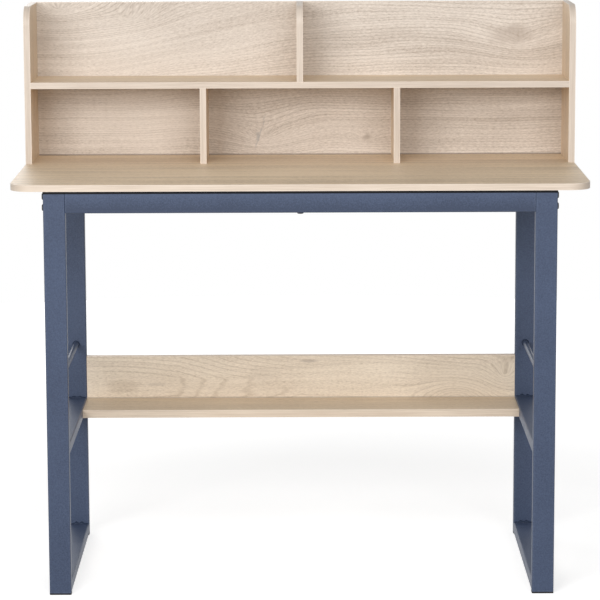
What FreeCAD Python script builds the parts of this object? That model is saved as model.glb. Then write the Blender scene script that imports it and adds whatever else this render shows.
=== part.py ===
import FreeCAD, Part
import os

import Sketcher

# Desk with a low hutch on top and a shallow shelf between its side frames.
# Millimetres. X runs to the right, Y to the back, Z up; the origin is on the floor under the middle.

SIZES = [
    ("desk_width", 1050),
    ("desk_depth", 500),
    ("desk_height", 760),
    ("board", 12),
    ("band", 1),
    ("desk_corner", 40),
    ("hutch_height", 300),
    ("hutch_depth", 165),
    ("hutch_corner", 36),
    ("centre_bay", 358),
    ("tube_width", 40),
    ("tube_depth", 20),
    ("tube_wall", 1.5),
    ("tube_corner", 2.5),
    ("bore_corner", 1),
    ("side_overhang", 61),
    ("front_overhang", 5),
    ("rear_overhang", 20),
    ("rail_height", 40),
    ("bearer_top", 280),
    ("rod_diameter", 10),
    ("rod_rise", 108),
    ("plug_flange", 3),
    ("plug_insert", 15),
    ("low_board", 15),
    ("low_depth", 120),
    ("low_drop", 2),
    ("upright_height", 85),
    ("end_plate", 3),
    ("bolt_shank", 6),
    ("bolt_head", 12),
    ("bolt_head_height", 2.4),
    ("bolt_socket", 4),
    ("nut_flats", 10),
    ("nut_height", 5),
    ("desk_screw_shank", 4.5),
    ("desk_screw_head", 12),
    ("desk_screw_head_height", 2.6),
    ("screw_shank", 4),
    ("screw_head", 8),
    ("screw_head_height", 2),
    ("screw_bite", 28),
    ("dowel_bite", 20),
    ("clearance", 0.3),
]

doc = FreeCAD.newDocument("desk_with_shelves")
sheet = doc.addObject("Spreadsheet::Sheet", "dims")
for row, (alias, number) in enumerate(SIZES, 1):
    sheet.set(f"A{row}", alias)
    sheet.set(f"B{row}", str(number))
    sheet.setAlias(f"B{row}", alias)
doc.recompute()


class Size:
    """A length: its present number and the sheet formula that drives it."""

    def __init__(self, number, formula):
        self.number = number
        self.formula = formula

    def combined(self, other, sign, number):
        formula = other.formula if isinstance(other, Size) else repr(other)
        return Size(number, f"({self.formula} {sign} {formula})")

    def __add__(self, other):
        return self.combined(other, "+", self.number + plain(other))

    def __sub__(self, other):
        return self.combined(other, "-", self.number - plain(other))

    def __mul__(self, other):
        return self.combined(other, "*", self.number * plain(other))

    def __truediv__(self, other):
        return self.combined(other, "/", self.number / plain(other))

    def __neg__(self):
        return Size(-self.number, f"(0 - {self.formula})")


def plain(value):
    return value.number if isinstance(value, Size) else value


def size(alias):
    return Size(float(sheet.get(alias)), f"dims.{alias}")


NIL = Size(0.0, "0")
AXES = "XYZ"
PLANES = {"XY": ("X", "Y", "Z"), "XZ": ("X", "Z", "Y"), "YZ": ("Y", "Z", "X")}
TURNS = {
    "X": FreeCAD.Rotation(FreeCAD.Vector(0, 1, 0), 90),
    "-X": FreeCAD.Rotation(FreeCAD.Vector(0, 1, 0), -90),
    "Y": FreeCAD.Rotation(FreeCAD.Vector(1, 0, 0), -90),
    "Z": FreeCAD.Rotation(),
    "-Z": FreeCAD.Rotation(FreeCAD.Vector(1, 0, 0), 180),
}

nodes = []


def keep(node, label):
    node.Label = label
    nodes.append(node)
    return node


def bind(target, prop, length):
    target.setExpression(prop, length.formula)


def place(target, spot, turn="Z"):
    target.Placement = FreeCAD.Placement(FreeCAD.Vector(*[s.number for s in spot]), TURNS[turn])
    for letter, length in zip("xyz", spot):
        bind(target, f"Placement.Base.{letter}", length)


def new_body(label):
    body = doc.addObject("PartDesign::Body", label + "_body")
    body.Label = label + "_body"
    return body


def new_sketch(body, plane):
    sketch = body.newObject("Sketcher::SketchObject", "outline")
    origin_plane = [f for f in body.Origin.OriginFeatures if f.Role == plane + "_Plane"][0]
    sketch.AttachmentSupport = [(origin_plane, "")]
    sketch.MapMode = "FlatFace"
    return sketch


def fix_point(sketch, line, end, spot):
    for kind, length in zip(("DistanceX", "DistanceY"), spot):
        index = sketch.addConstraint(Sketcher.Constraint(kind, -1, 1, line, end, length.number))
        bind(sketch, f"Constraints[{index}]", length)


def add_polygon(sketch, corners):
    """A closed outline; each corner is fixed to the sheet by its two coordinates."""
    first = sketch.GeometryCount
    ends = [FreeCAD.Vector(a.number, b.number, 0) for a, b in corners]
    for start, end in zip(ends, ends[1:] + ends[:1]):
        sketch.addGeometry(Part.LineSegment(start, end), False)
    count = len(corners)
    for step, spot in enumerate(corners):
        line = first + step
        sketch.addConstraint(Sketcher.Constraint("Coincident", line, 2, first + (step + 1) % count, 1))
        fix_point(sketch, line, 1, spot)


def add_circle(sketch, spot, radius):
    centre = FreeCAD.Vector(spot[0].number, spot[1].number, 0)
    circle = sketch.addGeometry(Part.Circle(centre, FreeCAD.Vector(0, 0, 1), radius.number), False)
    fix_point(sketch, circle, 3, spot)
    index = sketch.addConstraint(Sketcher.Constraint("Radius", circle, radius.number))
    bind(sketch, f"Constraints[{index}]", radius)


def box_corners(low, high):
    return [(low[0], low[1]), (high[0], low[1]), (high[0], high[1]), (low[0], high[1])]


def add_pad(body, sketch, length):
    pad = body.newObject("PartDesign::Pad", "pad")
    pad.Profile = sketch
    pad.Midplane = True
    bind(pad, "Length", length)
    sketch.Visibility = False
    doc.recompute()
    return pad


def edges_at(feature, plane, spots):
    """Names of the straight edges that run through the board or tube at the given outline corners."""
    first, second, through = [AXES.index(a) for a in PLANES[plane]]
    found = []
    for number, edge in enumerate(feature.Shape.Edges, 1):
        ends = [v.Point for v in edge.Vertexes]
        if len(ends) != 2 or abs(ends[0][through] - ends[1][through]) < 1e-6:
            continue
        for spot in spots:
            near = [abs(e[first] - spot[0].number) + abs(e[second] - spot[1].number) for e in ends]
            if max(near) < 1e-4:
                found.append(f"Edge{number}")
    return found


def add_rounding(body, base, plane, spots, radius):
    names = edges_at(base, plane, spots)
    if len(names) != len(spots):
        raise RuntimeError(f"{body.Label}: {len(names)} corner edges found of {len(spots)}")
    rounding = body.newObject("PartDesign::Fillet", "rounding")
    rounding.Base = (base, names)
    bind(rounding, "Radius", radius)
    doc.recompute()
    return rounding


def padded(label, plane, outlines, middle, length, roundings=(), circles=()):
    """A flat piece or a length of tube: outlines padded evenly both ways from the middle."""
    body = new_body(label)
    sketch = new_sketch(body, plane)
    for corners in outlines:
        add_polygon(sketch, corners)
    for spot, radius in circles:
        add_circle(sketch, spot, radius)
    last = add_pad(body, sketch, length)
    for spots, radius in roundings:
        last = add_rounding(body, last, plane, spots, radius)
    spot = [NIL, NIL, NIL]
    spot[AXES.index(PLANES[plane][2])] = middle
    place(body, spot)
    return body


def board_piece(label, plane, low, high, middle, thick, rounded=(), radius=None):
    roundings = [(rounded, radius)] if rounded else []
    return padded(label, plane, [box_corners(low, high)], middle, thick, roundings)


def tube_piece(label, plane, low, high, middle, length):
    bore_low = [s + wall for s in low]
    bore_high = [s - wall for s in high]
    outside = box_corners(low, high)
    bore = box_corners(bore_low, bore_high)
    roundings = [(outside, tube_corner), (bore, bore_corner)]
    return padded(label, plane, [outside, bore], middle, length, roundings)


def rod_between(label, axis, start, radius, length):
    rod = doc.addObject("Part::Cylinder", label)
    rod.Label = label
    bind(rod, "Radius", radius)
    bind(rod, "Height", length)
    place(rod, start, axis)
    return rod


def drill(axis, start, diameter, length):
    return rod_between("drill", axis, start, diameter / 2 + clearance, length)


def drilled(base, drills):
    holes = doc.addObject("Part::Compound", base.Label + "_holes")
    holes.Links = drills
    cut = doc.addObject("Part::Cut", base.Label + "_drilled")
    cut.Base = base
    cut.Tool = holes
    return cut


def headed(label, head, head_height, shank, length, socket=None):
    """A bolt or screw turned about Z, its head standing on Z = 0 and its shank running down."""
    body = new_body(label)
    sketch = new_sketch(body, "XZ")
    add_polygon(sketch, [
        (NIL, -length),
        (shank / 2, -length),
        (shank / 2, NIL),
        (head / 2, NIL),
        (head / 2, head_height),
        (NIL, head_height),
    ])
    turned = body.newObject("PartDesign::Revolution", "turned")
    turned.Profile = sketch
    turned.ReferenceAxis = (sketch, ["V_Axis"])
    turned.Angle = 360
    sketch.Visibility = False
    doc.recompute()
    rim = [
        f"Edge{n}" for n, edge in enumerate(turned.Shape.Edges, 1)
        if len(edge.Vertexes) == 1 and abs(edge.Vertexes[0].Z - head_height.number) < 1e-6
    ]
    dome = body.newObject("PartDesign::Fillet", "dome")
    dome.Base = (turned, rim)
    bind(dome, "Radius", head_height * 0.7)
    doc.recompute()
    if socket:
        recess = new_sketch(body, "XY")
        recess.AttachmentOffset.Base.z = head_height.number
        bind(recess, "AttachmentOffset.Base.z", head_height)
        add_polygon(recess, hexagon(socket))
        pocket = body.newObject("PartDesign::Pocket", "socket")
        pocket.Profile = recess
        bind(pocket, "Length", head_height * 0.7)
        recess.Visibility = False
        doc.recompute()
        if pocket.Shape.Volume > dome.Shape.Volume - 1:
            raise RuntimeError(label + ": the socket cuts nothing")
    return body


def hexagon(flats):
    corner = flats * 0.57735
    return [
        (corner, NIL),
        (corner / 2, flats / 2),
        (-corner / 2, flats / 2),
        (-corner, NIL),
        (-corner / 2, -flats / 2),
        (corner / 2, -flats / 2),
    ]


def group(label, master, spots):
    """Several like pieces in one node: placed links of one master."""
    links = []
    for spot, turn in spots:
        link = doc.addObject("App::Link", label + "_copy")
        link.LinkedObject = master
        place(link, spot, turn)
        links.append(link)
    together = doc.addObject("Part::Compound", label + "_group")
    together.Links = links
    return keep(together, label)


desk_width = size("desk_width")
desk_depth = size("desk_depth")
desk_height = size("desk_height")
board = size("board")
band = size("band")
desk_corner = size("desk_corner")
hutch_corner = size("hutch_corner")
tube_width = size("tube_width")
tube_depth = size("tube_depth")
wall = size("tube_wall")
tube_corner = size("tube_corner")
bore_corner = size("bore_corner")
clearance = size("clearance")

# Lines that several pieces share.
half_width = desk_width / 2
front = -desk_depth / 2
rear = desk_depth / 2
frame_top = desk_height - board
leg_out = half_width - size("side_overhang")
leg_in = leg_out - tube_width
leg_mid = leg_out - tube_width / 2
leg_front = front + size("front_overhang")
leg_back = rear - size("rear_overhang")
span = leg_back - leg_front - tube_depth * 2
frame_mid = (leg_front + leg_back) / 2
floor_gap = size("plug_flange")
bearer_top = size("bearer_top")
rail_height = size("rail_height")
rail_bottom = frame_top - rail_height
hutch_front = rear - size("hutch_depth")
hutch_top = desk_height + size("hutch_height")
hutch_in = half_width - board
back_face = rear - board
shelf_top = desk_height + (size("hutch_height") + board) / 2
shelf_under = shelf_top - board
divider_mid = (size("centre_bay") + board) / 2
low_board = size("low_board")
low_top = bearer_top - size("low_drop")
upright_mid = leg_back - tube_depth / 2
low_front = upright_mid - low_board / 2 - size("low_depth")
low_rear = upright_mid + low_board / 2
upright_top = low_top + size("upright_height")

# Side frames: straight lengths of rectangular tube, butt-welded into a loop with a bearer across it.
SIDES = (("left", -1), ("right", 1))
PAIRS = (("front", leg_front), ("rear", leg_back - tube_depth))
bolt_shank = size("bolt_shank")
bolt_heights = [rail_bottom + rail_height * 0.25, rail_bottom + rail_height * 0.75]
bolt_reach = tube_width + size("end_plate") + size("nut_height") + 2
bolt_spots = []
bolt_drills = {}
for side, sign in SIDES:
    turn = "-X" if sign < 0 else "X"
    for end, start in PAIRS:
        middle = start + tube_depth / 2
        drills = []
        for height in bolt_heights:
            bolt_spots.append(((leg_out * sign, middle, height), turn))
            drills.append(drill("X", (leg_mid * sign - tube_width, middle, height), bolt_shank, tube_width * 2))
        bolt_drills[side, end] = drills

for side, sign in SIDES:
    low_x, high_x = (-leg_out, -leg_in) if sign < 0 else (leg_in, leg_out)
    for end, start in PAIRS:
        leg = tube_piece(
            f"{side}_{end}_leg", "XY", (low_x, start), (high_x, start + tube_depth),
            (floor_gap + frame_top) / 2, frame_top - floor_gap)
        keep(drilled(leg, bolt_drills[side, end]), f"{side}_{end}_leg")

desk_screw_shank = size("desk_screw_shank")
desk_bite = board * 0.75
top_rail_drills = {}
top_rail_screws = []
low_screw_drills = {}
low_screws = []
low_screw_height = low_top - low_board / 2
for side, sign in SIDES:
    drills = []
    for along in (-0.3, 0.3):
        spot = (leg_mid * sign, frame_mid + span * along, frame_top - tube_depth)
        top_rail_screws.append((spot, "-Z"))
        drills.append(drill("Z", spot, desk_screw_shank, tube_depth + desk_bite + clearance))
    top_rail_drills[side] = drills
    drills = []
    for along in (0.25, 0.75):
        spot = (leg_out * sign, low_front + size("low_depth") * along, low_screw_height)
        low_screws.append((spot, "-X" if sign < 0 else "X"))
        reach = tube_width + size("screw_bite") + clearance
        start = (leg_out * sign if sign < 0 else leg_out - reach, spot[1], spot[2])
        drills.append(drill("X", start, size("screw_shank"), reach))
    low_screw_drills[side] = drills

for side, sign in SIDES:
    low_x, high_x = (-leg_out, -leg_in) if sign < 0 else (leg_in, leg_out)
    top_rail = tube_piece(
        f"{side}_top_rail", "XZ", (low_x, frame_top - tube_depth), (high_x, frame_top), frame_mid, span)
    keep(drilled(top_rail, top_rail_drills[side]), f"{side}_top_rail")
    bearer = tube_piece(
        f"{side}_shelf_bearer", "XZ", (low_x, bearer_top - tube_depth), (high_x, bearer_top), frame_mid, span)
    keep(drilled(bearer, low_screw_drills[side]), f"{side}_shelf_bearer")
    runner = tube_piece(
        f"{side}_floor_runner", "XZ", (low_x, floor_gap), (high_x, floor_gap + tube_depth), frame_mid, span)
    keep(runner, f"{side}_floor_runner")
    rod_start = (leg_mid * sign, leg_front + tube_depth, bearer_top + size("rod_rise"))
    keep(rod_between(f"{side}_side_rod", "Y", rod_start, size("rod_diameter") / 2, span), f"{side}_side_rod")

# Plastic plugs in the open leg ends: a flange as large as the tube on the floor, a block up inside it.
plug_low = (-tube_width / 2, -tube_depth / 2)
plug_high = (tube_width / 2, tube_depth / 2)
flange_corners = box_corners(plug_low, plug_high)
flange = padded("plug_flange", "XY", [flange_corners], floor_gap / 2, floor_gap, [(flange_corners, tube_corner)])
slack = wall + clearance
block = board_piece(
    "plug_block", "XY", [s + slack for s in plug_low], [s - slack for s in plug_high],
    floor_gap + size("plug_insert") / 2, size("plug_insert"))
plug = doc.addObject("Part::Fuse", "plug")
plug.Base = flange
plug.Tool = block
group("leg_plugs", plug, [
    ((leg_mid * sign, start + tube_depth / 2, NIL), "Z") for side, sign in SIDES for end, start in PAIRS
])

# Rails from leg to leg, front and rear, closed at each end by a plate with two nuts behind it.
rail_screws = []
rail_drills = {}
for end, start in PAIRS:
    middle = start + tube_depth / 2
    spot = (NIL, middle, rail_bottom)
    rail_screws.append((spot, "-Z"))
    rail_drills[end] = drill("Z", spot, desk_screw_shank, rail_height + desk_bite + clearance)
    rail = tube_piece(
        f"{end}_rail", "YZ", (start, rail_bottom), (start + tube_depth, frame_top), NIL, leg_in * 2)
    keep(drilled(rail, [rail_drills[end]]), f"{end}_rail")

end_plate = size("end_plate")
nut_height = size("nut_height")
hole = bolt_shank / 2 + clearance
plate_low = (-tube_depth / 2 + wall, -rail_height / 2 + wall)
plate_high = (tube_depth / 2 - wall, rail_height / 2 - wall)
plate_corners = box_corners(plate_low, plate_high)
plate = padded(
    "end_plate", "YZ", [plate_corners], NIL, end_plate, [(plate_corners, bore_corner * 2)],
    [((NIL, rail_height * share), hole) for share in (-0.25, 0.25)])
nut = padded("nut", "YZ", [hexagon(size("nut_flats"))], NIL, nut_height, (), [((NIL, NIL), hole)])
plate_spots = []
nut_spots = []
for side, sign in SIDES:
    for end, start in PAIRS:
        middle = start + tube_depth / 2
        plate_spots.append((((leg_in - end_plate / 2) * sign, middle, rail_bottom + rail_height / 2), "Z"))
        for height in bolt_heights:
            nut_spots.append((((leg_in - end_plate - nut_height / 2) * sign, middle, height), "Z"))
group("rail_end_plates", plate, plate_spots)
group("rail_nuts", nut, nut_spots)
bolt = headed(
    "bolt", size("bolt_head"), size("bolt_head_height"), bolt_shank, bolt_reach, size("bolt_socket"))
group("rail_bolts", bolt, bolt_spots)

# Desktop: a board with rounded front corners and a strip bent round all four edges.
rail_screw = headed(
    "rail_screw", size("desk_screw_head"), size("desk_screw_head_height"), desk_screw_shank,
    rail_height + desk_bite, size("bolt_socket"))
group("desktop_rail_screws", rail_screw, rail_screws)
frame_screw = headed(
    "frame_screw", size("desk_screw_head"), size("desk_screw_head_height"), desk_screw_shank,
    tube_depth + desk_bite, size("bolt_socket"))
group("desktop_frame_screws", frame_screw, top_rail_screws)

screw_shank = size("screw_shank")
screw_bite = size("screw_bite")
hutch_screw_ways = {
    "left_side": [(-half_width + board / 2, hutch_front + size("hutch_depth") * s) for s in (0.25, 0.75)],
    "right_side": [(half_width - board / 2, hutch_front + size("hutch_depth") * s) for s in (0.25, 0.75)],
    "left_divider": [(-divider_mid, hutch_front + size("hutch_depth") * s) for s in (0.25, 0.6)],
    "right_divider": [(divider_mid, hutch_front + size("hutch_depth") * s) for s in (0.25, 0.6)],
    "back": [(desk_width * s, rear - board / 2) for s in (-0.3, 0, 0.3)],
}
hutch_drills = {}
hutch_screws = []
for name, ways in hutch_screw_ways.items():
    hutch_drills[name] = []
    for across, along in ways:
        spot = (across, along, frame_top)
        hutch_screws.append((spot, "-Z"))
        hutch_drills[name].append(drill("Z", spot, screw_shank, board + screw_bite + clearance))

edge_low = (-half_width, front)
edge_high = (half_width, rear)
core_low = [s + band for s in edge_low]
core_high = [s - band for s in edge_high]
edge_corners = box_corners(edge_low, edge_high)
core_corners = box_corners(core_low, core_high)
slab_mid = desk_height - board / 2
slab = board_piece(
    "desktop", "XY", core_low, core_high, slab_mid, board, core_corners[:2], desk_corner - band)
slab_drills = [d for side, sign in SIDES for d in top_rail_drills[side]]
slab_drills += [rail_drills[end] for end, start in PAIRS]
slab_drills += [d for ways in hutch_drills.values() for d in ways]
keep(drilled(slab, slab_drills), "desktop")
keep(padded(
    "desktop_edge_strip", "XY", [edge_corners, core_corners], slab_mid, board,
    [(edge_corners[:2], desk_corner), (core_corners[:2], desk_corner - band)]), "desktop_edge_strip")

# Hutch: two sides and a back standing on the desktop, a shelf between them and three dividers.
dowel = board / 2
dowel_sunk = board * (2 / 3)
dowel_bite = size("dowel_bite")
dowel_length = dowel_sunk + dowel_bite
dowel_spots = []


def dowel_way(spot, axis):
    """A dowel from the spot along the axis, and the hole for it, a little longer at both ends."""
    dowel_spots.append((spot, axis))
    way = [s - clearance if letter == axis else s for letter, s in zip(AXES, spot)]
    return drill(axis, way, dowel, dowel_length + clearance * 2)


dowel_lines = [hutch_front + size("hutch_depth") * share for share in (0.25, 0.7)]
shelf_mid = shelf_top - board / 2
side_ways = {}
for side, sign in SIDES:
    start = -hutch_in - dowel_sunk if sign < 0 else hutch_in - dowel_bite
    into_shelf = [dowel_way((start, along, shelf_mid), "X") for along in dowel_lines]
    into_back = [
        dowel_way((start, rear - board / 2, desk_height + size("hutch_height") * share), "X")
        for share in (0.2, 0.8)
    ]
    side_ways[side] = (into_shelf, into_back)
low_divider_ways = {
    side: [dowel_way((divider_mid * sign, along, shelf_under - dowel_bite), "Z") for along in dowel_lines]
    for side, sign in SIDES
}
top_divider_ways = [dowel_way((NIL, along, shelf_top - dowel_sunk), "Z") for along in dowel_lines]
back_ways = [dowel_way((desk_width * s, back_face - dowel_bite, shelf_mid), "Y") for s in (-0.25, 0.25)]

core_front = hutch_front + band
core_top = hutch_top - band


def cap_strip(label, low, back_end, middle):
    """The bent strip on a board with a rounded top corner: up the front, round, and back along the top."""
    outer = (hutch_front, hutch_top)
    inner = (core_front, core_top)
    corners = [
        (hutch_front, low), outer, (back_end, hutch_top), (back_end, core_top), inner, (core_front, low),
    ]
    roundings = [([outer], hutch_corner), ([inner], hutch_corner - band)]
    return keep(padded(label, "YZ", [corners], middle, board, roundings), label)


for side, sign in SIDES:
    into_shelf, into_back = side_ways[side]
    middle = (half_width - board / 2) * sign
    panel = board_piece(
        f"hutch_{side}_side", "YZ", (core_front, desk_height), (rear, core_top), middle, board,
        [(core_front, core_top)], hutch_corner - band)
    keep(drilled(panel, into_shelf + into_back + hutch_drills[f"{side}_side"]), f"hutch_{side}_side")
    cap_strip(f"{side}_side_edge_strip", desk_height, rear, middle)

back = board_piece(
    "hutch_back", "XZ", (-hutch_in, desk_height), (hutch_in, core_top), rear - board / 2, board)
back_drills = side_ways["left"][1] + side_ways["right"][1] + back_ways + hutch_drills["back"]
keep(drilled(back, back_drills), "hutch_back")
keep(board_piece(
    "back_edge_strip", "XZ", (-hutch_in, core_top), (hutch_in, hutch_top), rear - board / 2, board),
    "back_edge_strip")

shelf = board_piece(
    "hutch_shelf", "XY", (-hutch_in, core_front), (hutch_in, back_face), shelf_mid, board)
shelf_drills = side_ways["left"][0] + side_ways["right"][0] + back_ways + top_divider_ways
shelf_drills += low_divider_ways["left"] + low_divider_ways["right"]
keep(drilled(shelf, shelf_drills), "hutch_shelf")
keep(board_piece(
    "shelf_edge_strip", "XY", (-hutch_in, hutch_front), (hutch_in, core_front), shelf_mid, board),
    "shelf_edge_strip")

top_divider = board_piece(
    "upper_divider", "YZ", (core_front, shelf_top), (back_face, core_top), NIL, board,
    [(core_front, core_top)], hutch_corner - band)
keep(drilled(top_divider, top_divider_ways), "upper_divider")
cap_strip("upper_divider_edge_strip", shelf_top, back_face, NIL)

for side, sign in SIDES:
    divider = board_piece(
        f"lower_{side}_divider", "YZ", (core_front, desk_height), (back_face, shelf_under),
        divider_mid * sign, board)
    divider_drills = low_divider_ways[side] + hutch_drills[f"{side}_divider"]
    keep(drilled(divider, divider_drills), f"lower_{side}_divider")
    strip = f"{side}_divider_edge_strip"
    keep(board_piece(
        strip, "YZ", (hutch_front, desk_height), (core_front, shelf_under), divider_mid * sign, board), strip)

peg = rod_between("peg", "Z", (NIL, NIL, NIL), dowel / 2, dowel_length)
group("hutch_dowels", peg, dowel_spots)
screw_head = size("screw_head")
screw_head_height = size("screw_head_height")
hutch_screw = headed("hutch_screw", screw_head, screw_head_height, screw_shank, board + screw_bite)
group("hutch_screws", hutch_screw, hutch_screws)

# Low shelf between the bearers, with an upright board standing along its back between the rear legs.
upright_ways = [(desk_width * s, upright_mid, low_top - low_board) for s in (-0.3, 0, 0.3)]
upright_drills = [drill("Z", w, screw_shank, low_board + screw_bite + clearance) for w in upright_ways]
low_shelf = board_piece(
    "lower_shelf", "XY", (-leg_in, low_front + band), (leg_in, low_rear), low_screw_height, low_board)
low_drills = upright_drills + low_screw_drills["left"] + low_screw_drills["right"]
keep(drilled(low_shelf, low_drills), "lower_shelf")
keep(board_piece(
    "lower_shelf_edge_strip", "XY", (-leg_in, low_front), (leg_in, low_front + band),
    low_screw_height, low_board), "lower_shelf_edge_strip")

upright_end = leg_in - band
upright_cap = upright_top - band
upright = board_piece(
    "upright_board", "XZ", (-upright_end, low_top), (upright_end, upright_cap), upright_mid, low_board)
keep(drilled(upright, upright_drills), "upright_board")
strips = [
    board_piece("upright_top_strip", "XZ", (-leg_in, upright_cap), (leg_in, upright_top), upright_mid, low_board),
    board_piece("upright_left_strip", "XZ", (-leg_in, low_top), (-upright_end, upright_cap), upright_mid, low_board),
    board_piece("upright_right_strip", "XZ", (upright_end, low_top), (leg_in, upright_cap), upright_mid, low_board),
]
upright_strips = doc.addObject("Part::Compound", "upright_strips")
upright_strips.Links = strips
keep(upright_strips, "upright_edge_strips")

low_screw = headed("low_screw", screw_head, screw_head_height, screw_shank, tube_width + screw_bite)
group("lower_shelf_screws", low_screw, low_screws)
upright_screw = headed("upright_screw", screw_head, screw_head_height, screw_shank, low_board + screw_bite)
group("upright_screws", upright_screw, [(way, "-Z") for way in upright_ways])

doc.recompute()
for item in doc.Objects:
    if "Invalid" in item.State or "Error" in item.State:
        raise RuntimeError(f"{item.Label} did not build: {item.State}")
os.makedirs("parts", exist_ok=True)
for node in nodes:
    if node.Shape.isNull() or not node.Shape.isValid():
        raise RuntimeError(node.Label + " has no valid shape")
    node.Shape.exportStep(f"parts/{node.Label}.step")
    print(node.Label, len(node.Shape.Solids), round(node.Shape.Volume))
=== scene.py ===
import math
import random

import bmesh
import bpy
from mathutils import Matrix, Vector


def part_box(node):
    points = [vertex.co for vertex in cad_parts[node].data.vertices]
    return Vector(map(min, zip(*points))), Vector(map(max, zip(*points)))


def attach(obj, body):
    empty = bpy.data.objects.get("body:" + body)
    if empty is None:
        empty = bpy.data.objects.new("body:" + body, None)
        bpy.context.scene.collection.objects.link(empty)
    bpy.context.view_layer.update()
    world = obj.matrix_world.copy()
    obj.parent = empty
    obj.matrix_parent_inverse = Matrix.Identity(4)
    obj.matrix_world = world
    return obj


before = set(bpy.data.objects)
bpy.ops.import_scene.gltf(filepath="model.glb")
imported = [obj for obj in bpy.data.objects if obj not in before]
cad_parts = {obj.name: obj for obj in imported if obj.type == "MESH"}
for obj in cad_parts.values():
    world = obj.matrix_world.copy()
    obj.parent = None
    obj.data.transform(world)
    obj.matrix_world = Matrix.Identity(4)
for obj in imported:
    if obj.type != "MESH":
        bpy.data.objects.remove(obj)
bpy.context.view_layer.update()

# Side frames: each a loop of flat rectangular steel tube, butt-welded, with a bearer across it for the low
# shelf and a thin round rod above that. Powder-coated slate blue: cloudy at arm's length, fine-grained close
# to, and paler on the tube's corners, where the coat is thin and where the paler blue is also a painted
# highlight on the rounded corners.
SIDES = ("left", "right")
TUBES = ("front_leg", "rear_leg", "top_rail", "shelf_bearer", "floor_runner", "side_rod")
COAT_DEEP, COAT_FAIR = (0.026, 0.040, 0.079), (0.065, 0.092, 0.162)
COAT_THIN_AND_HIGHLIGHT = (0.135, 0.170, 0.255, 1)
COAT_ROUGH = (0.40, 0.50)
CLOUD_WAVES, GRIT_WAVES = 7.0, 430.0
CLOUD_PART, GRIT_PART = 0.3, 0.7
GRIT_HEIGHT = 0.00022
CORNER_REACH = 0.0045
FLAT_COSINE, CORNER_COSINE = 0.98, 0.85
THIN_BY_GRIT = (0.35, 0.65, 0.15, 0.6)
NOISE_LOW, NOISE_HIGH = 0.3, 0.7


class Nodes:
    """A node tree with short ways to add to it. Lengths are metres, and waves are counted to the metre."""

    def __init__(self, tree):
        self.tree = tree

    def set(self, node, inputs):
        for socket, value in inputs.items():
            if isinstance(value, bpy.types.NodeSocket):
                self.tree.links.new(value, node.inputs[socket])
            else:
                node.inputs[socket].default_value = value

    def add(self, kind, inputs, output=0, **settings):
        node = self.tree.nodes.new("ShaderNode" + kind)
        for name, value in settings.items():
            setattr(node, name, value)
        self.set(node, inputs)
        return node.outputs[output]

    def calc(self, operation, first, second=0.0):
        return self.add("Math", {0: first, 1: second}, operation=operation)

    def plus(self, first, second):
        return self.calc("ADD", first, second)

    def minus(self, first, second):
        return self.calc("SUBTRACT", first, second)

    def times(self, first, second):
        return self.calc("MULTIPLY", first, second)

    def between(self, value, low, high, out_low=0.0, out_high=1.0):
        """Turn a value's span from low to high into another span, and hold it at the ends."""
        return self.add("MapRange", {
            "Value": value, "From Min": low, "From Max": high, "To Min": out_low, "To Max": out_high})


class Finish(Nodes):
    """A surface finish in the making: its material, and the shader that its nodes feed."""

    def __init__(self, name):
        self.material = bpy.data.materials.new(name)
        self.material.use_nodes = True
        super().__init__(self.material.node_tree)
        self.shader = self.tree.nodes["Principled BSDF"]
        self.spot = self.add("TexCoord", {}, "Object")

    def axis(self, letter):
        return self.add("SeparateXYZ", {0: self.spot}, letter)

    def join(self, first, second, third=0.0):
        return self.add("CombineXYZ", {0: first, 1: second, 2: third})

    def stretched(self, spot, along, across):
        return self.add("VectorMath", {0: spot, 1: (along, across, 1.0)}, operation="MULTIPLY")

    def noise(self, spot, waves, detail=2.0, roughness=0.5):
        return self.add("TexNoise", {
            "Vector": spot, "Scale": waves, "Detail": detail, "Roughness": roughness})

    def spread(self, noise, low=0.0, high=1.0):
        """Draw the middle of a noise, where most of it lies, out from low to high."""
        return self.between(noise, NOISE_LOW, NOISE_HIGH, low, high)

    def blend(self, share, first, second):
        return self.add("Mix", {0: share, 6: first, 7: second}, 2, data_type="RGBA")

    def relief(self, height, strength, distance):
        return self.add("Bump", {"Height": height, "Strength": strength, "Distance": distance})

    def rim(self, reach):
        """How near a point is to one of the piece's own corners: 0 out on a flat, 1 on the corner."""
        rounded = self.add("Bevel", {"Radius": reach}, samples=4)
        flat = self.add("NewGeometry", {}, "True Normal")
        cosine = self.add("VectorMath", {0: rounded, 1: flat}, "Value", operation="DOT_PRODUCT")
        return self.between(cosine, FLAT_COSINE, CORNER_COSINE)

    def surface(self, colour, roughness, normal, shine=0.5, metal=0.0):
        self.set(self.shader, {
            "Base Color": colour, "Roughness": roughness, "Normal": normal, "Specular IOR Level": shine,
            "Metallic": metal})


def dress(finish, names):
    """Give CAD pieces their finish in place of the plain one they came with."""
    for name in names:
        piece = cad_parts[name]
        piece.data.materials.clear()
        piece.data.materials.append(finish.material)


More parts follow.
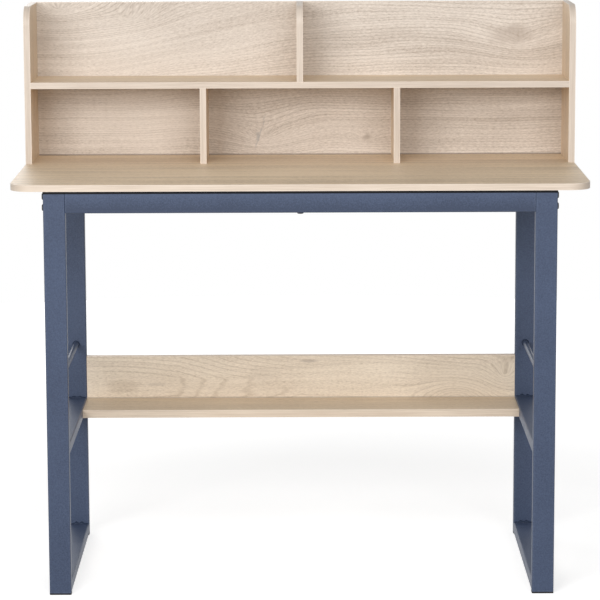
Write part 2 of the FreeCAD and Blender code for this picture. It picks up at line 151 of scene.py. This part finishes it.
def powder_coat(name, tone=1.0, shine=0.38, thin=True, painted_shade=None):
    """The frame's coat. Its last argument paints shade: two heights, and the change in its share of fair
    blue at each, so the coat darkens low down and pales high up as light would fall.
    """
    coat = Finish(name)
    cloud = coat.noise(coat.spot, CLOUD_WAVES, detail=3.0)
    grit = coat.noise(coat.spot, GRIT_WAVES, detail=3.0, roughness=0.7)
    share = coat.spread(coat.plus(coat.times(cloud, CLOUD_PART), coat.times(grit, GRIT_PART)))
    # Painted shade: darker towards the lower of the two heights, fairer towards the upper.
    if painted_shade:
        share = coat.plus(share, coat.between(coat.axis("Z"), *painted_shade))
    deep = tuple(tone * part for part in COAT_DEEP) + (1,)
    fair = tuple(tone * part for part in COAT_FAIR) + (1,)
    colour = coat.blend(share, deep, fair)
    # Paler blue on the corners: thin coat, and a painted highlight along the rounded corners.
    if thin:
        thin_and_highlight = coat.times(coat.rim(CORNER_REACH), coat.between(grit, *THIN_BY_GRIT))
        colour = coat.blend(thin_and_highlight, colour, COAT_THIN_AND_HIGHLIGHT)
    grain = coat.relief(grit, strength=1.0, distance=GRIT_HEIGHT)
    coat.surface(colour, coat.spread(cloud, *COAT_ROUGH), grain, shine)
    return coat


tube_coat = powder_coat("tube_coat")
for side in SIDES:
    dress(tube_coat, [f"{side}_{tube}" for tube in TUBES])

# Weld beads: short runs of filler metal in the inner corners where bearer, runner, top rail and rod meet the
# legs. Laid by hand in overlapping drops, so ragged, and sprayed over with the frame's coat, drawn darker on
# them as painted shade for the inner corners they sit in, and duller.
BEAD = 0.0040
BEAD_STEPS = 6
BEAD_END, BEAD_WAIST, BEAD_SWELL = 0.5, 0.50, 1.35
BEAD_SPREAD = (0.75, 1.2)
BEAD_INSET = 0.003
ROD_BEAD = 0.65
chance = random.Random(7)
# The lower tone is painted shade for the inner corners.
shaded_weld_coat = powder_coat("shaded_weld_coat", tone=0.60, shine=0.12, thin=False)


def new_piece(name, mesh, finish):
    """Make a bmesh into a piece of the desk with the given finish, fixed to the root body."""
    data = bpy.data.meshes.new(name)
    mesh.to_mesh(data)
    mesh.free()
    for face in data.polygons:
        face.use_smooth = True
    piece = bpy.data.objects.new(name, data)
    bpy.context.collection.objects.link(piece)
    data.materials.append(finish.material)
    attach(piece, "root")


def straight_bead(mesh, start, end):
    """A ring drawn out along the corner, swelling and shrinking with each drop."""
    middle = Vector(start)
    run = Vector(end) - middle
    drop = run / BEAD_STEPS
    turn = run.to_track_quat("Z", "Y").to_matrix().to_4x4()
    ring = bmesh.ops.create_circle(
        mesh, cap_ends=True, segments=8, radius=BEAD * BEAD_END,
        matrix=Matrix.Translation(start) @ turn)["verts"]
    edges = list({edge for vert in ring for edge in vert.link_edges if all(v in ring for v in edge.verts)})
    width = BEAD_END
    for step in range(BEAD_STEPS):
        drawn = bmesh.ops.extrude_edge_only(mesh, edges=edges)["geom"]
        verts = [item for item in drawn if isinstance(item, bmesh.types.BMVert)]
        edges = [item for item in drawn if isinstance(item, bmesh.types.BMEdge)]
        bmesh.ops.translate(mesh, verts=verts, vec=drop)
        middle = middle + drop
        wanted = BEAD_END
        if step < BEAD_STEPS - 1:
            wanted = (BEAD_WAIST, BEAD_SWELL)[step % 2] * chance.uniform(*BEAD_SPREAD)
        grow = wanted / width
        width = wanted
        bmesh.ops.scale(mesh, verts=verts, vec=(grow, grow, grow), space=Matrix.Translation(-middle))
    bmesh.ops.contextual_create(mesh, geom=edges)


def ring_bead(mesh, centre, radius):
    """A small round turned about the rod's axis where it meets the leg."""
    rim = Vector(centre) + Vector((radius, 0, 0))
    small = bmesh.ops.create_circle(
        mesh, segments=6, radius=BEAD * ROD_BEAD, matrix=Matrix.Translation(rim))["verts"]
    edges = list({edge for vert in small for edge in vert.link_edges})
    bmesh.ops.spin(
        mesh, geom=small + edges, cent=centre, axis=(0, 1, 0), angle=math.tau, steps=18, use_merge=True)


for side in SIDES:
    beads = bmesh.new()
    for name in ("shelf_bearer", "floor_runner", "top_rail"):
        low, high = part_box(f"{side}_{name}")
        height = low[2] if name == "top_rail" else high[2]
        for depth in (low[1], high[1]):
            straight_bead(beads, (low[0] + BEAD_INSET, depth, height), (high[0] - BEAD_INSET, depth, height))
    low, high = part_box(f"{side}_side_rod")
    for depth in (low[1], high[1]):
        ring_bead(beads, ((low[0] + high[0]) / 2, depth, (low[2] + high[2]) / 2), (high[0] - low[0]) / 2)
    bmesh.ops.recalc_face_normals(beads, faces=beads.faces)
    new_piece(f"{side}_frame_welds", beads, shaded_weld_coat)

# Leg plugs: black plastic glides, moulded with a short stem that is pushed up into the open leg end. Matt,
# with the faint grain of the mould.
PLUG_DEEP, PLUG_FAIR = (0.010, 0.010, 0.012, 1), (0.020, 0.020, 0.023, 1)
MOULD_WAVES = 1600.0


def grained(name, waves, first, second, rough, strength, distance, detail=2.0, shine=0.5):
    """A finish of one small grain, which sets its colour, its gloss and its relief."""
    finish = Finish(name)
    grain = finish.noise(finish.spot, waves, detail)
    finish.surface(
        finish.blend(grain, first, second), finish.spread(grain, *rough),
        finish.relief(grain, strength, distance), shine)
    return finish


dress(grained(
    "plug_plastic", MOULD_WAVES, PLUG_DEEP, PLUG_FAIR, rough=(0.60, 0.72), strength=0.3, distance=0.0003,
    shine=0.2), ["leg_plugs"])

# Front and rear rails: the same coated tube between the legs. Painted shade: the coat is drawn deeper along
# the lower edge and fairer along the upper one, standing in for light that falls more on the rail's upper
# half.
RAIL_SHADE_LOW, RAIL_SHADE_HIGH = -0.65, 0.30
rail_low, rail_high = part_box("front_rail")
shaded_rail_coat = powder_coat("shaded_rail_coat", painted_shade=(rail_low[2], rail_high[2], RAIL_SHADE_LOW, RAIL_SHADE_HIGH))
dress(shaded_rail_coat, ["front_rail", "rear_rail"])

# End plates and nuts: a plate closes each rail end and carries two nuts for the bolts. Steel, zinc plated
# with small spangles, and hidden once the desk is put together.
ZINC_DULL, ZINC_BRIGHT = (0.42, 0.43, 0.45, 1), (0.60, 0.61, 0.62, 1)
ZINC_ROUGH = (0.30, 0.45)
SPANGLE_WAVES = 260.0
zinc = Finish("zinc")
spangle = zinc.add("TexVoronoi", {"Vector": zinc.spot, "Scale": SPANGLE_WAVES})
zinc.surface(
    zinc.blend(spangle, ZINC_DULL, ZINC_BRIGHT), zinc.between(spangle, 0.0, 1.0, *ZINC_ROUGH),
    zinc.relief(spangle, strength=0.1, distance=0.0002), metal=1.0)
dress(zinc, ["rail_end_plates", "rail_nuts"])

# Bolts and screws: low-headed bolts through the legs into the rails, and wood screws that hold the boards.
# Steel, blacked with oxide, a little smutty, and rubbed bright in places on the rims.
OXIDE_DEEP, OXIDE_FAIR = (0.020, 0.020, 0.023, 1), (0.045, 0.045, 0.050, 1)
BARE_STEEL = (0.22, 0.22, 0.23, 1)
OXIDE_ROUGH = (0.32, 0.48)
SMUT_WAVES = 420.0
HEAD_REACH = 0.0008
BARE_BY_SMUT = (0.4, 0.7, 0.1, 0.6)
black_oxide = Finish("black_oxide")
smut = black_oxide.noise(black_oxide.spot, SMUT_WAVES, detail=3.0)
rubbed = black_oxide.times(black_oxide.rim(HEAD_REACH), black_oxide.between(smut, *BARE_BY_SMUT))
oxide = black_oxide.blend(smut, OXIDE_DEEP, OXIDE_FAIR)
black_oxide.surface(
    black_oxide.blend(rubbed, oxide, BARE_STEEL), black_oxide.spread(smut, *OXIDE_ROUGH),
    black_oxide.relief(smut, strength=0.15, distance=0.0003), metal=0.6)
dress(black_oxide, [
    "rail_bolts", "desktop_rail_screws", "desktop_frame_screws", "hutch_screws", "lower_shelf_screws",
    "upright_screws"])

# Painted shadow: a thin near-black strip round the top of the frame, just proud of its faces, that stands in
# for the thin shadow the desktop's edge casts on the frame. It shows as a dark line under the board.
SHADOW_STRIP_HEIGHT, PROUD = 0.0048, 0.0004
SHADOW_STRIP_CORNER = 0.0026
SHADOW_STRIP_DEEP, SHADOW_STRIP_FAIR = (0.008, 0.008, 0.010, 1), (0.018, 0.018, 0.021, 1)
SHADOW_STRIP_WAVES = 1900.0
# The strip's near-black finish is painted shadow.
painted_shadow_black = grained(
    "painted_shadow_black", SHADOW_STRIP_WAVES, SHADOW_STRIP_DEEP, SHADOW_STRIP_FAIR, rough=(0.75, 0.9), strength=0.3, distance=0.0003,
    shine=0.2)
leg_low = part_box("left_front_leg")[0]
leg_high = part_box("right_rear_leg")[1]
shadow_strip = bmesh.new()
bmesh.ops.create_grid(shadow_strip, x_segments=1, y_segments=1, size=0.5)
span = (leg_high[0] - leg_low[0] + 2 * PROUD, leg_high[1] - leg_low[1] + 2 * PROUD, 1)
bmesh.ops.scale(shadow_strip, verts=shadow_strip.verts, vec=span)
bmesh.ops.translate(shadow_strip, verts=shadow_strip.verts, vec=(
    (leg_low[0] + leg_high[0]) / 2, (leg_low[1] + leg_high[1]) / 2, leg_high[2]))
bmesh.ops.bevel(
    shadow_strip, geom=list(shadow_strip.verts), offset=SHADOW_STRIP_CORNER, offset_type="OFFSET", segments=4, profile=0.5,
    affect="VERTICES", material=-1)
bmesh.ops.inset_region(
    shadow_strip, faces=list(shadow_strip.faces), thickness=PROUD, use_even_offset=True, use_boundary=True)
bmesh.ops.delete(shadow_strip, geom=[max(shadow_strip.faces, key=lambda face: face.calc_area())], context="FACES")
drawn = bmesh.ops.extrude_face_region(shadow_strip, geom=list(shadow_strip.faces))["geom"]
bmesh.ops.translate(
    shadow_strip, verts=[item for item in drawn if isinstance(item, bmesh.types.BMVert)], vec=(0, 0, -SHADOW_STRIP_HEIGHT))
bmesh.ops.recalc_face_normals(shadow_strip, faces=shadow_strip.faces)
new_piece("painted_shadow_strip", shadow_strip, painted_shadow_black)

# Desktop: a chipboard panel with rounded corners, faced with oak print under a satin laminate, its grain
# lengthwise. A thin plastic strip, paler than the face, is ironed on round all its edges and trimmed flush.
# Waves come in pairs, along and across the grain.
# The desktop's pair is paler and warmer than the back's, though the print is the same: painted light, for
# the light that falls from above on this top.
TOP_PALE, TOP_DARK = (0.87, 0.70, 0.50, 1), (0.49, 0.375, 0.25, 1)
WANDER_WAVES, WANDER = (2.4, 7.0), 0.045
UNEVEN_WAVES, UNEVEN_RINGS = (1.2, 30.0), 2.0
PATCH_WAVES, PATCH_SPAN = (2.0, 22.0), (0.36, 0.56)
RING_SPAN = (0.5, 1.0)
PORE_WAVES, PORE_SPAN = (170.0, 560.0), (0.54, 0.68)
PORE_BY_STREAK = (0.38, 0.62, 0.35, 1.0)
STREAK_WAVES, FINE_WAVES = (3.0, 110.0), (130.0, 520.0)
BROAD_WAVES, SHADOW_WAVES = (2.2, 16.0), (7.0, 8.0)
PORE_SHARE, FINE_SHARE, SHADOW_SHARE = 0.6, 2.1, 0.7
PALEST, DARKEST = -0.55, 1.15
GLOSS_SPAN, GLOSSIER, DULLER = (0.25, 0.75), 0.05, 0.07
RAGGED_WAVES, RAGGED_SHARE = 60.0, 0.5
KNOT_SPAN, KNOT_RIM = (0.05, 0.45), 0.1
CRACK_DARK, CONTACT_SHADE_DARK = (0.30, 0.285, 0.275, 1), (0.15, 0.115, 0.09, 1)
CRACK_STRAY = 0.025
CRACK_FRAY_SPAN, CRACK_FRAY, CRACK_CORE, CRACK_TAPER = (0.35, 0.65), 0.6, 0.4, 0.7
CONTACT_SHADE_CORE, CONTACT_SHADE_EDGE = 0.0012, 0.0034
# The same plastic as the hutch's and low shelf's strips, but with its own pair, set as painted light to how
# much light reaches it here.
STRIP_PALE, STRIP_DARK = (0.76, 0.645, 0.53, 1), (0.59, 0.48, 0.38, 1)
STRIP_ROUGH, STRIP_SPAN = (0.40, 0.50), (0.32, 0.68)
LINE_WAVES, DRIFT_WAVES = (14.0, 520.0), (5.0, 60.0)
LINE_PART, DRIFT_PART = 0.6, 0.4
TRIM_AND_HIGHLIGHT_PALE, TRIM_AND_HIGHLIGHT_SHARE = (0.88, 0.78, 0.67, 1), 0.5
TRIM_AND_HIGHLIGHT_CORE, TRIM_AND_HIGHLIGHT_EDGE = 0.0004, 0.0016
TRIM_AND_HIGHLIGHT_BY_DRIFT = (0.3, 0.6, 0.5, 1.0)


class Laminate(Finish):
    """Oak print on one board: its grain runs along the first of two axes and bends across the second."""

    def __init__(self, name, axes, seed):
        super().__init__(name)
        self.along, self.across = self.axis(axes[0]), self.axis(axes[1])
        self.flat = self.join(self.along, self.across, seed)
        ragged = self.noise(self.flat, RAGGED_WAVES, detail=3.0, roughness=0.6)
        self.ragged = self.times(self.minus(ragged, 0.5), RAGGED_SHARE)

    def fibres(self, spot, waves, detail, roughness=0.5):
        """Noise drawn out along the grain."""
        return self.noise(self.stretched(spot, *waves), 1.0, detail, roughness)

    def mound(self, along, across, reach_along, reach_across):
        """A soft round rise: 1 at its middle, 0 past its reach."""
        mapped = self.add("Mapping", {
            "Vector": self.join(self.along, self.across), "Location": (along, across, 0),
            "Scale": (reach_along, reach_across, 1)}, vector_type="TEXTURE")
        return self.add("TexGradient", {"Vector": mapped}, "Fac", gradient_type="QUADRATIC_SPHERE")

    def bend(self, swirls):
        """How far the grain is pushed across: a slow wander, and a lift round each swirl."""
        bend = self.times(self.fibres(self.flat, WANDER_WAVES, detail=2.0), WANDER)
        for *place, lift in swirls:
            bend = self.plus(bend, self.times(self.mound(*place), lift))
        return bend

    def tongue(self, middle, start, end, slant, roundness, drop):
        """Nested rings that close one after another from start to end along the grain, and then drop."""
        past = self.calc("MAXIMUM", self.minus(self.along, end), 0.0)
        aside = self.plus(self.minus(self.across, middle), self.times(past, drop))
        figure = self.calc("SQRT", self.plus(self.times(aside, aside), roundness ** 2))
        closing = self.calc("MAXIMUM", self.calc("MINIMUM", self.along, end), start)
        return self.plus(figure, self.times(closing, slant))

    def rings(self, figure, bands, ring):
        """Dark lines a ring apart across the figure, uneven, and seen only in patches."""
        uneven = self.times(self.fibres(bands, UNEVEN_WAVES, detail=1.0), ring * UNEVEN_RINGS)
        lines = self.calc("SINE", self.times(self.plus(figure, uneven), math.tau / ring))
        seen = self.between(self.fibres(bands, PATCH_WAVES, detail=2.0), *PATCH_SPAN)
        return self.times(self.between(lines, *RING_SPAN), seen)

    def pores(self, grain, streaks):
        """Short dark flecks, most of them in the streaks."""
        flecks = self.between(self.fibres(grain, PORE_WAVES, detail=1.0), *PORE_SPAN)
        return self.times(flecks, self.between(streaks, *PORE_BY_STREAK))

    def knot(self, colour, along, across, reach_along, reach_across, depth, tint):
        """A ragged spot of another tint."""
        mound = self.mound(along, across, reach_along, reach_across)
        mark = self.between(self.plus(mound, self.ragged), *KNOT_SPAN, 0.0, depth)
        return self.blend(self.times(mark, self.between(mound, 0.0, KNOT_RIM)), colour, tint)

    def crack(self, colour, fine, along, across, lean, reach, width, depth):
        """A ragged dark line that leans across the grain."""
        rise = self.minus(self.across, across)
        path = self.plus(self.times(rise, lean), self.times(self.ragged, CRACK_STRAY))
        aside = self.calc("ABSOLUTE", self.minus(self.minus(self.along, along), path))
        aside = self.plus(aside, self.times(self.between(fine, *CRACK_FRAY_SPAN), width * CRACK_FRAY))
        mark = self.between(aside, width * CRACK_CORE, width, depth, 0.0)
        ends = self.between(self.calc("ABSOLUTE", rise), reach * CRACK_TAPER, reach, 1.0, 0.0)
        return self.blend(self.times(mark, ends), colour, CRACK_DARK)

    def seam(self, colour, height, middle, depth):
        """Painted shade: a dark line at one height of the front face, where another board meets this one and
        shade falls in the corner.
        """
        away = self.calc("ABSOLUTE", self.minus(self.axis("Z"), height))
        front = self.calc("LESS_THAN", self.axis("Y"), middle)
        share = self.times(self.between(away, CONTACT_SHADE_CORE, CONTACT_SHADE_EDGE, depth, 0.0), front)
        return self.blend(share, colour, CONTACT_SHADE_DARK)


def oak_laminate(
        name, axes, pale, dark, seed, gloss=0.40, ring=0.0055, ring_share=0.4, grain_share=1.3, coarse=1.0,
        swirls=(), knots=(), cracks=(), contact_shades=(), tongue=None):
    """Ring lines, pores, streaks, fine fibres, broad bands and shadow, with the board's own marks, any
    painted light patches and any painted contact shade over them.

    The ring is the spacing of the ring lines, the shares are weights, and a coarse under 1 widens the bands.
    """
    oak = Laminate(name, axes, seed)
    bend = oak.bend(swirls)
    grain = oak.join(oak.along, oak.plus(oak.across, bend), seed)
    bands = oak.stretched(grain, coarse, coarse)
    figure = oak.tongue(**tongue) if tongue else oak.across
    rings = oak.rings(oak.plus(figure, bend), bands, ring)
    streaks = oak.fibres(bands, STREAK_WAVES, detail=3.0, roughness=0.6)
    pores = oak.pores(grain, streaks)
    fine = oak.fibres(grain, FINE_WAVES, detail=2.0, roughness=0.65)
    broad = oak.fibres(bands, BROAD_WAVES, detail=2.0)
    shadow = oak.fibres(oak.flat, SHADOW_WAVES, detail=1.0)
    shade = oak.plus(oak.times(rings, ring_share), oak.times(pores, PORE_SHARE))
    layers = ((streaks, grain_share), (fine, FINE_SHARE), (broad, grain_share), (shadow, SHADOW_SHARE))
    for layer, share in layers:
        shade = oak.plus(shade, oak.times(oak.minus(layer, 0.5), share))
    colour = oak.blend(oak.between(shade, PALEST, DARKEST), pale, dark)
    for knot in knots:
        colour = oak.knot(colour, *knot)
    for crack in cracks:
        colour = oak.crack(colour, fine, **crack)
    for seam in contact_shades:
        colour = oak.seam(colour, *seam)
    roughness = oak.between(fine, *GLOSS_SPAN, gloss - GLOSSIER, gloss + DULLER)
    oak.surface(colour, roughness, oak.relief(fine, strength=0.25, distance=0.00025))
    return oak


def edge_strip(name, node, across, pale, dark, seed):
    """Finish a strip: fine lines along its length, and paler at both arrises, where the trimmed plastic
    shows and a painted highlight stands in for the arris catching the light.
    """
    strip = Finish(name)
    first, second = (letter for letter in "XYZ" if letter != across)
    place = strip.axis(across)
    run = strip.join(strip.plus(strip.axis(first), strip.axis(second)), place, seed)
    lines = strip.noise(strip.stretched(run, *LINE_WAVES), 1.0, detail=2.0, roughness=0.6)
    drift = strip.noise(strip.stretched(run, *DRIFT_WAVES), 1.0, detail=2.0)
    share = strip.plus(strip.times(lines, LINE_PART), strip.times(drift, DRIFT_PART))
    colour = strip.blend(strip.between(share, *STRIP_SPAN), pale, dark)
    low, high = (corner["XYZ".index(across)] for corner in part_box(node))
    inside = strip.calc("MINIMUM", strip.minus(place, low), strip.minus(high, place))
    # Paler at the arrises: trimmed plastic, and a painted highlight.
    trim_and_highlight = strip.between(inside, TRIM_AND_HIGHLIGHT_CORE, TRIM_AND_HIGHLIGHT_EDGE, TRIM_AND_HIGHLIGHT_SHARE, 0.0)
    trim_and_highlight = strip.times(trim_and_highlight, strip.between(drift, *TRIM_AND_HIGHLIGHT_BY_DRIFT))
    strip.surface(
        strip.blend(trim_and_highlight, colour, TRIM_AND_HIGHLIGHT_PALE), strip.spread(lines, *STRIP_ROUGH),
        strip.relief(lines, strength=0.2, distance=0.0002), shine=0.6)
    dress(strip, [node])


dress(oak_laminate(
    "desktop_oak", "XY", TOP_PALE, TOP_DARK, seed=1.3, gloss=0.46, ring=0.018, ring_share=0.35,
    grain_share=2.2, coarse=0.55), ["desktop"])
edge_strip("desktop_strip", "desktop_edge_strip", "Z", STRIP_PALE, STRIP_DARK, seed=0.4)

# Hutch: two sides with rounded front corners, a full back, a shelf and three dividers, dowelled together
# and screwed on from under the desktop. The same oak print, with paler strips on the edges that show.
# A swirl is (along, across, reach along, reach across, lift), and a knot has depth and tint for the lift.
# The boards share one print, yet each has its own pair as painted light: the shelf's top warmer for light
# from above, the sides paler and warmer for the light on their inner faces, the strips set to the light on
# the hutch's front.
BACK_PALE, BACK_DARK = (0.74, 0.66, 0.582, 1), (0.40, 0.325, 0.262, 1)
SIDE_PALE, SIDE_DARK = (0.83, 0.655, 0.47, 1), (0.56, 0.435, 0.305, 1)
SHELF_PALE, SHELF_DARK = (0.81, 0.64, 0.445, 1), (0.55, 0.42, 0.28, 1)
EDGE_PALE, EDGE_DARK = (0.71, 0.61, 0.515, 1), (0.54, 0.45, 0.37, 1)
SMUDGE, PAINTED_LIGHT_PATCH = (0.40, 0.325, 0.265, 1), (0.82, 0.735, 0.65, 1)
BACK_CONTACT_SHADE = 0.75
back_swirls = [
    (-0.47, 1.050, 0.62, 0.34, 0.140),
    (-0.330, 1.030, 0.11, 0.040, 0.018),
    (0.430, 0.985, 0.15, 0.080, 0.034),
    (-0.075, 0.800, 0.15, 0.100, 0.046),
    (0.131, 0.794, 0.06, 0.026, 0.016),
]
back_knots = [
    # The two pale patches are painted light: paler where the light falls in the left bays, away from the
    # shade of the sides and the shelf.
    (-0.300, 0.830, 0.220, 0.140, 0.28, PAINTED_LIGHT_PATCH),
    (-0.300, 0.950, 0.260, 0.080, 0.15, PAINTED_LIGHT_PATCH),
    (-0.500, 0.988, 0.045, 0.020, 0.30, SMUDGE),
    (0.412, 0.992, 0.080, 0.034, 0.50, SMUDGE),
    (0.424, 1.004, 0.045, 0.020, 0.35, SMUDGE),
    (0.131, 0.794, 0.016, 0.008, 0.75, SMUDGE),
]
back_cracks = [
    {"along": -0.0785, "across": 0.8035, "lean": 0.30, "reach": 0.036, "width": 0.0022, "depth": 0.55},
    {"along": -0.0830, "across": 0.7960, "lean": 0.10, "reach": 0.010, "width": 0.0050, "depth": 0.60},
]
shelf_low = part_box("hutch_shelf")[0]
top_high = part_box("desktop")[1]
back_low, back_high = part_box("hutch_back")
back_middle = (back_low[1] + back_high[1]) / 2
# Painted shade along the lines where the shelf and the desktop meet the back's front face.
back_contact_shades = [(height, back_middle, BACK_CONTACT_SHADE) for height in (shelf_low[2], top_high[2])]
dress(oak_laminate(
    "hutch_back_oak", "XZ", BACK_PALE, BACK_DARK, seed=4.1, ring_share=0.65, swirls=back_swirls,
    knots=back_knots, cracks=back_cracks, contact_shades=back_contact_shades), ["hutch_back"])
dress(oak_laminate("hutch_side_oak", "ZY", SIDE_PALE, SIDE_DARK, seed=7.7), [
    "hutch_left_side", "hutch_right_side", "upper_divider", "lower_left_divider", "lower_right_divider"])
dress(oak_laminate(
    "hutch_shelf_oak", "XY", SHELF_PALE, SHELF_DARK, seed=9.2, gloss=0.36, ring_share=0.2), ["hutch_shelf"])
for node, across, seed in (
        ("left_side_edge_strip", "X", 2.6), ("right_side_edge_strip", "X", 2.6),
        ("upper_divider_edge_strip", "X", 2.6), ("left_divider_edge_strip", "X", 2.6),
        ("right_divider_edge_strip", "X", 2.6), ("shelf_edge_strip", "Z", 3.8),
        ("back_edge_strip", "Y", 5.1)):
    edge_strip(node + "_finish", node, across, EDGE_PALE, EDGE_DARK, seed)

# Dowels: short plain pegs of turned beech, glued half into each of two boards of the hutch. Flecked and
# dry, and hidden once the boards are together.
BEECH_PALE, BEECH_DARK = (0.66, 0.50, 0.33, 1), (0.55, 0.40, 0.26, 1)
FLECK_WAVES = 300.0
dress(grained(
    "beech_dowel", FLECK_WAVES, BEECH_PALE, BEECH_DARK, rough=(0.6, 0.75), strength=0.2, distance=0.0002,
    detail=3.0), ["hutch_dowels"])

# Low shelf: a shallow board screwed between the bearers, with an upright board standing along its back
# edge as a stop. Both have the oak print again, edged with the pale strip.
# The same print again, with pairs set as painted light: the upright paler, for the little light that reaches
# it low under the desktop, the shelf's top warmer for light from above, and the strips set to the light they
# get.
LOW_PALE, LOW_DARK = (0.90, 0.785, 0.64, 1), (0.56, 0.455, 0.345, 1)
LOW_TOP_PALE, LOW_TOP_DARK = (0.83, 0.675, 0.495, 1), (0.563, 0.443, 0.312, 1)
LOW_EDGE_PALE, LOW_EDGE_DARK = (0.81, 0.675, 0.535, 1), (0.61, 0.485, 0.365, 1)
LOW_CONTACT_SHADE = 0.45
upright_swirls = [
    (0.309, 0.268, 0.120, 0.085, -0.080),
    (0.405, 0.325, 0.070, 0.060, 0.035),
]
upright_knots = [
    (0.016, 0.352, 0.030, 0.006, 0.6, SMUDGE),
    (-0.285, 0.306, 0.034, 0.006, 0.28, SMUDGE),
    (-0.080, 0.325, 0.060, 0.030, 0.15, SMUDGE),
]
upright_tongue = {
    "middle": 0.304, "start": -0.24, "end": 0.0, "slant": 0.22, "roundness": 0.024, "drop": 0.10}
low_shelf_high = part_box("lower_shelf")[1]
upright_low, upright_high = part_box("upright_board")
upright_middle = (upright_low[1] + upright_high[1]) / 2
# Painted shade along the line where the low shelf meets the upright's front face.
upright_contact_shades = [(low_shelf_high[2], upright_middle, LOW_CONTACT_SHADE)]
dress(oak_laminate(
    "low_shelf_oak", "XY", LOW_TOP_PALE, LOW_TOP_DARK, seed=12.5, gloss=0.36, ring_share=0.3), [
        "lower_shelf"])
dress(oak_laminate(
    "upright_oak", "XZ", LOW_PALE, LOW_DARK, seed=15.9, ring=0.0095, ring_share=0.6, grain_share=1.0,
    swirls=upright_swirls, knots=upright_knots, contact_shades=upright_contact_shades, tongue=upright_tongue), [
        "upright_board"])
for node, across, seed in (("lower_shelf_edge_strip", "Z", 6.3), ("upright_edge_strips", "Y", 8.4)):
    edge_strip(node + "_finish", node, across, LOW_EDGE_PALE, LOW_EDGE_DARK, seed)

# Floor: a pale matt disc that takes the desk's soft shadow. Where it is looked at it also glows, more
# towards its rim, so that it runs into the plain white behind.
FLOOR_RADIUS = 3.2
FLOOR_GREY, WHITE = (0.65, 0.65, 0.65, 1), (1, 1, 1, 1)
GLOW_START, GLOW_END = 0.9, 2.6
GLOW_NEAR, GLOW_FAR = 0.66, 0.95


def in_view(nodes):
    """1 for what is looked at, straight, in a gloss or through glass, and 0 for the light it gives."""
    rays = nodes.tree.nodes.new("ShaderNodeLightPath").outputs
    shown = nodes.calc("MAXIMUM", rays["Is Camera Ray"], rays["Is Glossy Ray"])
    return nodes.calc("MAXIMUM", shown, rays["Is Transmission Ray"])


floor_mesh = bmesh.new()
bmesh.ops.create_circle(floor_mesh, cap_ends=True, segments=96, radius=FLOOR_RADIUS)
floor_data = bpy.data.meshes.new("floor")
floor_mesh.to_mesh(floor_data)
floor_mesh.free()
floor = bpy.data.objects.new("floor", floor_data)
bpy.context.collection.objects.link(floor)
pale_floor = Finish("pale_floor")
reach = pale_floor.add("VectorMath", {0: pale_floor.spot}, "Value", operation="LENGTH")
glow = pale_floor.between(reach, GLOW_START, GLOW_END, GLOW_NEAR, GLOW_FAR)
pale_floor.set(pale_floor.shader, {
    "Base Color": FLOOR_GREY, "Roughness": 0.9, "Specular IOR Level": 0.0, "Emission Color": WHITE,
    "Emission Strength": pale_floor.times(in_view(pale_floor), glow)})
floor_data.materials.append(pale_floor.material)

# Studio: a pale surround that shows as plain white and lights only a little, and four soft lamps: a strong
# one in front on the left, a weaker one in front on the right, a small one overhead and one behind.
# A lamp is (name, place, aim, width, height, power in watts).
SURROUND_LIGHT, SURROUND_SHOWN = 0.22, 1.0
LAMPS = (
    ("key_lamp", (-2.2, -4.9, 2.0), (0, 0, 0.75), 2.6, 1.7, 141),
    ("fill_lamp", (1.4, -4.9, 2.0), (0, 0, 0.75), 2.4, 1.7, 64),
    ("top_lamp", (0, -1.7, 2.3), (0, -0.2, 0.8), 1.6, 1.0, 15),
    ("back_lamp", (-1.2, 2.9, 1.8), (0, 0, 0.7), 1.8, 1.8, 24),
)
world = bpy.data.worlds.new("surround")
bpy.context.scene.world = world
world.use_nodes = True
air = Nodes(world.node_tree)
level = air.between(in_view(air), 0.0, 1.0, SURROUND_LIGHT, SURROUND_SHOWN)
air.set(air.tree.nodes["Background"], {"Color": WHITE, "Strength": level})
for name, place, aim, width, height, power in LAMPS:
    lamp = bpy.data.lights.new(name, "AREA")
    lamp.shape = "RECTANGLE"
    lamp.size = width
    lamp.size_y = height
    lamp.energy = power
    stand = bpy.data.objects.new(name, lamp)
    stand.location = place
    stand.rotation_euler = (Vector(aim) - Vector(place)).to_track_quat("-Z", "Y").to_euler()
    stand.visible_camera = False
    bpy.context.collection.objects.link(stand)

# Camera: square on to the front and a little above the desk, far off and through a long lens, so that the
# desk's lines stay nearly parallel. The turn is in degrees.
SENSOR, LENS = 36.0, 171.1
EYE = (-0.002, -5.342, 1.379)
TURN = (80.75, 0.19, -0.04)
FARTHEST = 60.0
camera_data = bpy.data.cameras.new("camera")
camera_data.sensor_width = SENSOR
camera_data.lens = LENS
camera_data.clip_end = FARTHEST
camera = bpy.data.objects.new("camera", camera_data)
camera.location = EYE
camera.rotation_euler = [math.radians(angle) for angle in TURN]
bpy.context.collection.objects.link(camera)
bpy.context.scene.camera = camera
bpy.context.scene.view_settings.view_transform = "Standard"
